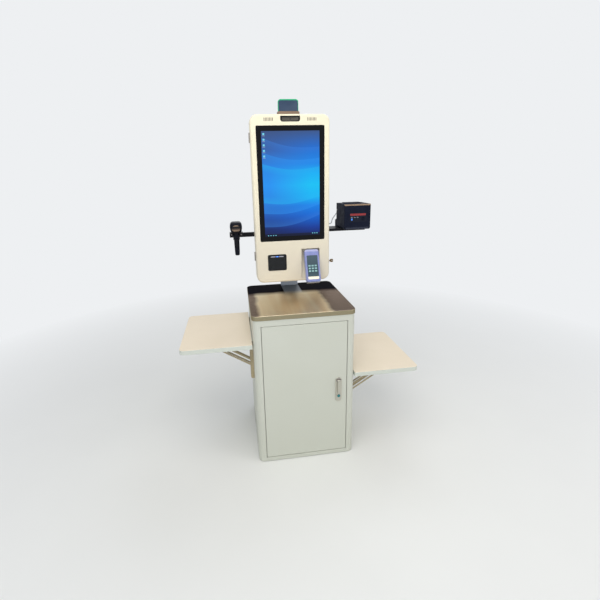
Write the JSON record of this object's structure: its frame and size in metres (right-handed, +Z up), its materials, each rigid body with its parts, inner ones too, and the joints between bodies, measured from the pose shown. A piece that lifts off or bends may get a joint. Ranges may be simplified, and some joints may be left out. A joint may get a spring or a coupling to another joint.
{
  "type": "self checkout kiosk",
  "caption": "Free-standing self checkout kiosk: cabinet with door, folding side shelves, tall touch screen head, payment terminal, hand scanner, receipt printer and beacon.",
  "frame": {"origin": "on the floor under the middle of the cabinet", "axes": "+Z up, +X to the customer's right, the door and the screen face -Y"},
  "size_m": [1.21, 0.5521, 1.826],
  "materials": {
    "powder_coat": "satin powder coat on folded steel",
    "inner_steel": "satin powder coat inside the cabinet",
    "stainless": "brushed stainless sheet",
    "bright_steel": "plated pins, bolts and lock parts",
    "cover_white": "smooth satin cream white",
    "shelf_laminate": "laminated board",
    "core_board": "plain board",
    "bracket_khaki": "semi gloss khaki enamel",
    "post_silver": "silver grey enamel",
    "black_metal": "satin black enamel",
    "black_plastic": "moulded ABS with a fine texture",
    "grey_plastic": "moulded plastic",
    "beacon_tan": "moulded tan plastic",
    "beacon_dark": "dark blue grey plastic",
    "beacon_green": "green tinted acrylic",
    "screen_glass": "black bordered glass",
    "screen_panel": "display panel",
    "scan_glass": "tinted window",
    "terminal_silicone": "soft periwinkle silicone",
    "terminal_screen": "glass over a dark display",
    "circuit_board": "green circuit board",
    "brass": "machined brass",
    "button_teal": "teal lock button",
    "rubber_black": "rubber",
    "lead_grey": "flexible pale grey cable",
    "paper": "plain thermal paper"
  },
  "bodies": {
    "root": {"cabinet_shell": "powder_coat", "door_frame": "powder_coat", "cabinet_base": "inner_steel", "glide_feet": "rubber_black", "worktop_pan": "stainless", "worktop_board": "core_board", "mains_fittings": "black_plastic", "inner_shelf": "inner_steel", "post": "post_silver", "head_housing": "cover_white", "head_bracket": "black_metal", "head_electronics": "circuit_board", "housing_hardware": "bright_steel", "beacon_base": "beacon_tan", "beacon_lens": "beacon_green", "beacon_plate": "beacon_dark", "cross_bar": "black_metal", "bolts_and_pins": "bright_steel", "scanner_holder": "black_plastic", "printer_tray": "black_metal", "printer_body": "black_plastic", "print_head": "grey_plastic", "lead_gland": "rubber_black", "lead_plug": "rubber_black", "printer_lead": "lead_grey", "shelf_rails": "bracket_khaki"},
    "head_front": {"head_cover": "cover_white", "touch_glass": "screen_glass", "display_panel": "screen_panel", "display_frame": "black_metal", "camera_bar": "black_plastic", "speakers": "black_plastic", "scan_frame": "black_plastic", "scan_glass": "scan_glass", "scan_engine": "black_plastic", "pocket_tub": "cover_white", "terminal_holder": "grey_plastic", "cover_hardware": "bright_steel"},
    "key": {"head_key": "brass"},
    "terminal": {"terminal_case": "terminal_silicone", "terminal_screen": "terminal_screen"},
    "door": {"cabinet_door": "powder_coat", "door_lock": "bright_steel"},
    "handle": {"lock_spindle": "bright_steel"},
    "lever": {"lock_lever": "bright_steel"},
    "push_button": {"lock_button": "button_teal"},
    "hand_scanner": {"scanner_body": "black_plastic", "scanner_window": "screen_panel"},
    "trigger": {"scanner_trigger": "grey_plastic"},
    "lid": {"printer_lid": "black_plastic"},
    "feed": {"feed_button": "black_plastic"},
    "roll": {"paper_roll": "paper"},
    "shelf_left": {"shelf_board_left": "shelf_laminate", "shelf_arms_left": "bracket_khaki"},
    "braces_left": {"shelf_braces_left": "bracket_khaki"},
    "stays_left": {"shelf_stays_left": "bracket_khaki"},
    "shelf_right": {"shelf_board_right": "shelf_laminate", "shelf_arms_right": "bracket_khaki"},
    "braces_right": {"shelf_braces_right": "bracket_khaki"},
    "stays_right": {"shelf_stays_right": "bracket_khaki"}
  },
  "joints": [
    {"name": "door_hinge", "type": "hinge", "parent": "root", "child": "door", "pos_m": [-0.208, -0.2618, 0.395], "axis": [0, 0, -1], "range_deg": [0, 110]},
    {"name": "handle_turn", "type": "hinge", "parent": "door", "child": "handle", "pos_m": [0.169, -0.27, 0.445], "axis": [0, 1, 0], "range_deg": [0, 90]},
    {"name": "lever_lift", "type": "hinge", "parent": "handle", "child": "lever", "pos_m": [0.169, -0.2759, 0.445], "axis": [-1, 0, 0], "range_deg": [0, 35]},
    {"name": "lock_push", "type": "slide", "parent": "door", "child": "push_button", "axis": [0, 1, 0], "range_m": [0, 0.003], "stiffness_N_per_m": 500},
    {"name": "head_hinge", "type": "hinge", "parent": "root", "child": "head_front", "pos_m": [-0.2054, 0.10075, 1.32], "axis": [0, 0, -1], "range_deg": [0, 95]},
    {"name": "key_turn", "type": "hinge", "parent": "head_front", "child": "key", "pos_m": [0.19, 0.08, 0.991], "axis": [1, 0, 0], "range_deg": [0, 90]},
    {"name": "terminal_lift", "type": "slide", "parent": "head_front", "child": "terminal", "axis": [0, -0.9272, 0.3746], "range_m": [0, 0.12]},
    {"name": "scanner_lift", "type": "slide", "parent": "root", "child": "hand_scanner", "axis": [0, 0, 1], "range_m": [0, 0.2]},
    {"name": "trigger_pull", "type": "slide", "parent": "hand_scanner", "child": "trigger", "axis": [0, 1, 0], "range_m": [0, 0.004], "stiffness_N_per_m": 400},
    {"name": "lid_hinge", "type": "hinge", "parent": "root", "child": "lid", "pos_m": [0.3565, 0.207, 1.267], "axis": [-1, 0, 0], "range_deg": [0, 70]},
    {"name": "feed_press", "type": "slide", "parent": "root", "child": "feed", "axis": [0, 1, 0], "range_m": [0, 0.002], "stiffness_N_per_m": 500},
    {"name": "roll_spin", "type": "hinge", "parent": "root", "child": "roll", "pos_m": [0.3565, 0.128, 1.2134], "axis": [1, 0, 0], "continuous": true},
    {"name": "shelf_left_fold", "type": "hinge", "parent": "root", "child": "shelf_left", "pos_m": [-0.263, 0, 0.641], "axis": [0, -1, 0], "range_deg": [0, 90]},
    {"name": "brace_left_turn", "type": "hinge", "parent": "root", "child": "braces_left", "pos_m": [-0.263, 0, 0.529], "axis": [0, -1, 0], "range_deg": [0, 123]},
    {"name": "stay_left_turn", "type": "hinge", "parent": "root", "child": "stays_left", "pos_m": [-0.263, 0, 0.557], "axis": [0, -1, 0], "range_deg": [0, 123]},
    {"name": "shelf_right_fold", "type": "hinge", "parent": "root", "child": "shelf_right", "pos_m": [0.263, 0, 0.439], "axis": [0, 1, 0], "range_deg": [0, 90]},
    {"name": "brace_right_turn", "type": "hinge", "parent": "root", "child": "braces_right", "pos_m": [0.263, 0, 0.327], "axis": [0, 1, 0], "range_deg": [0, 123]},
    {"name": "stay_right_turn", "type": "hinge", "parent": "root", "child": "stays_right", "pos_m": [0.263, 0, 0.355], "axis": [0, 1, 0], "range_deg": [0, 123]}
  ],
  "couplings": [
    {"joint": "brace_left_turn", "follows": "shelf_left_fold", "ratio": 1.3575},
    {"joint": "brace_right_turn", "follows": "shelf_right_fold", "ratio": 1.3575},
    {"joint": "stay_left_turn", "follows": "shelf_left_fold", "ratio": 1.3575},
    {"joint": "stay_right_turn", "follows": "shelf_right_fold", "ratio": 1.3575}
  ]
}
